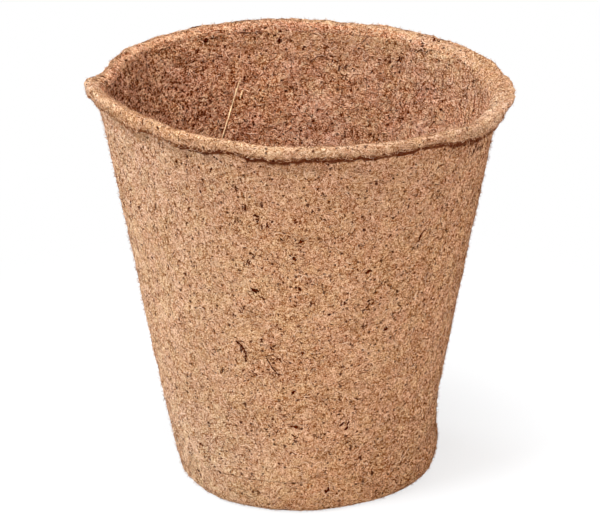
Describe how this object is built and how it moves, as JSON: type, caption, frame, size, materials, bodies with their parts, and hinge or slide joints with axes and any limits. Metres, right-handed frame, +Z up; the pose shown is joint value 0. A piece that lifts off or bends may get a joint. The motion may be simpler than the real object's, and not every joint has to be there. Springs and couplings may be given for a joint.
{
  "type": "peat pot",
  "caption": "Tapered round plant pot pressed from brown peat and wood fibre, open at the top, with a turned-over rim and a flat closed base.",
  "frame": {"origin": "centre of the flat underside of the base", "axes": "+Z up through the open mouth, along the pot's own axis; +Y away from the picture's camera, +X to its right"},
  "size_m": [0.082, 0.082, 0.08],
  "materials": {
    "pressed_peat": "matt felted fibre",
    "straw": "dull dry stem",
    "rootlet": "matt dry bark"
  },
  "bodies": {
    "root": {"base": "pressed_peat", "side_wall": "pressed_peat", "rolled_rim": "pressed_peat", "straw_stems": "straw", "rootlets": "rootlet"}
  },
  "joints": []
}
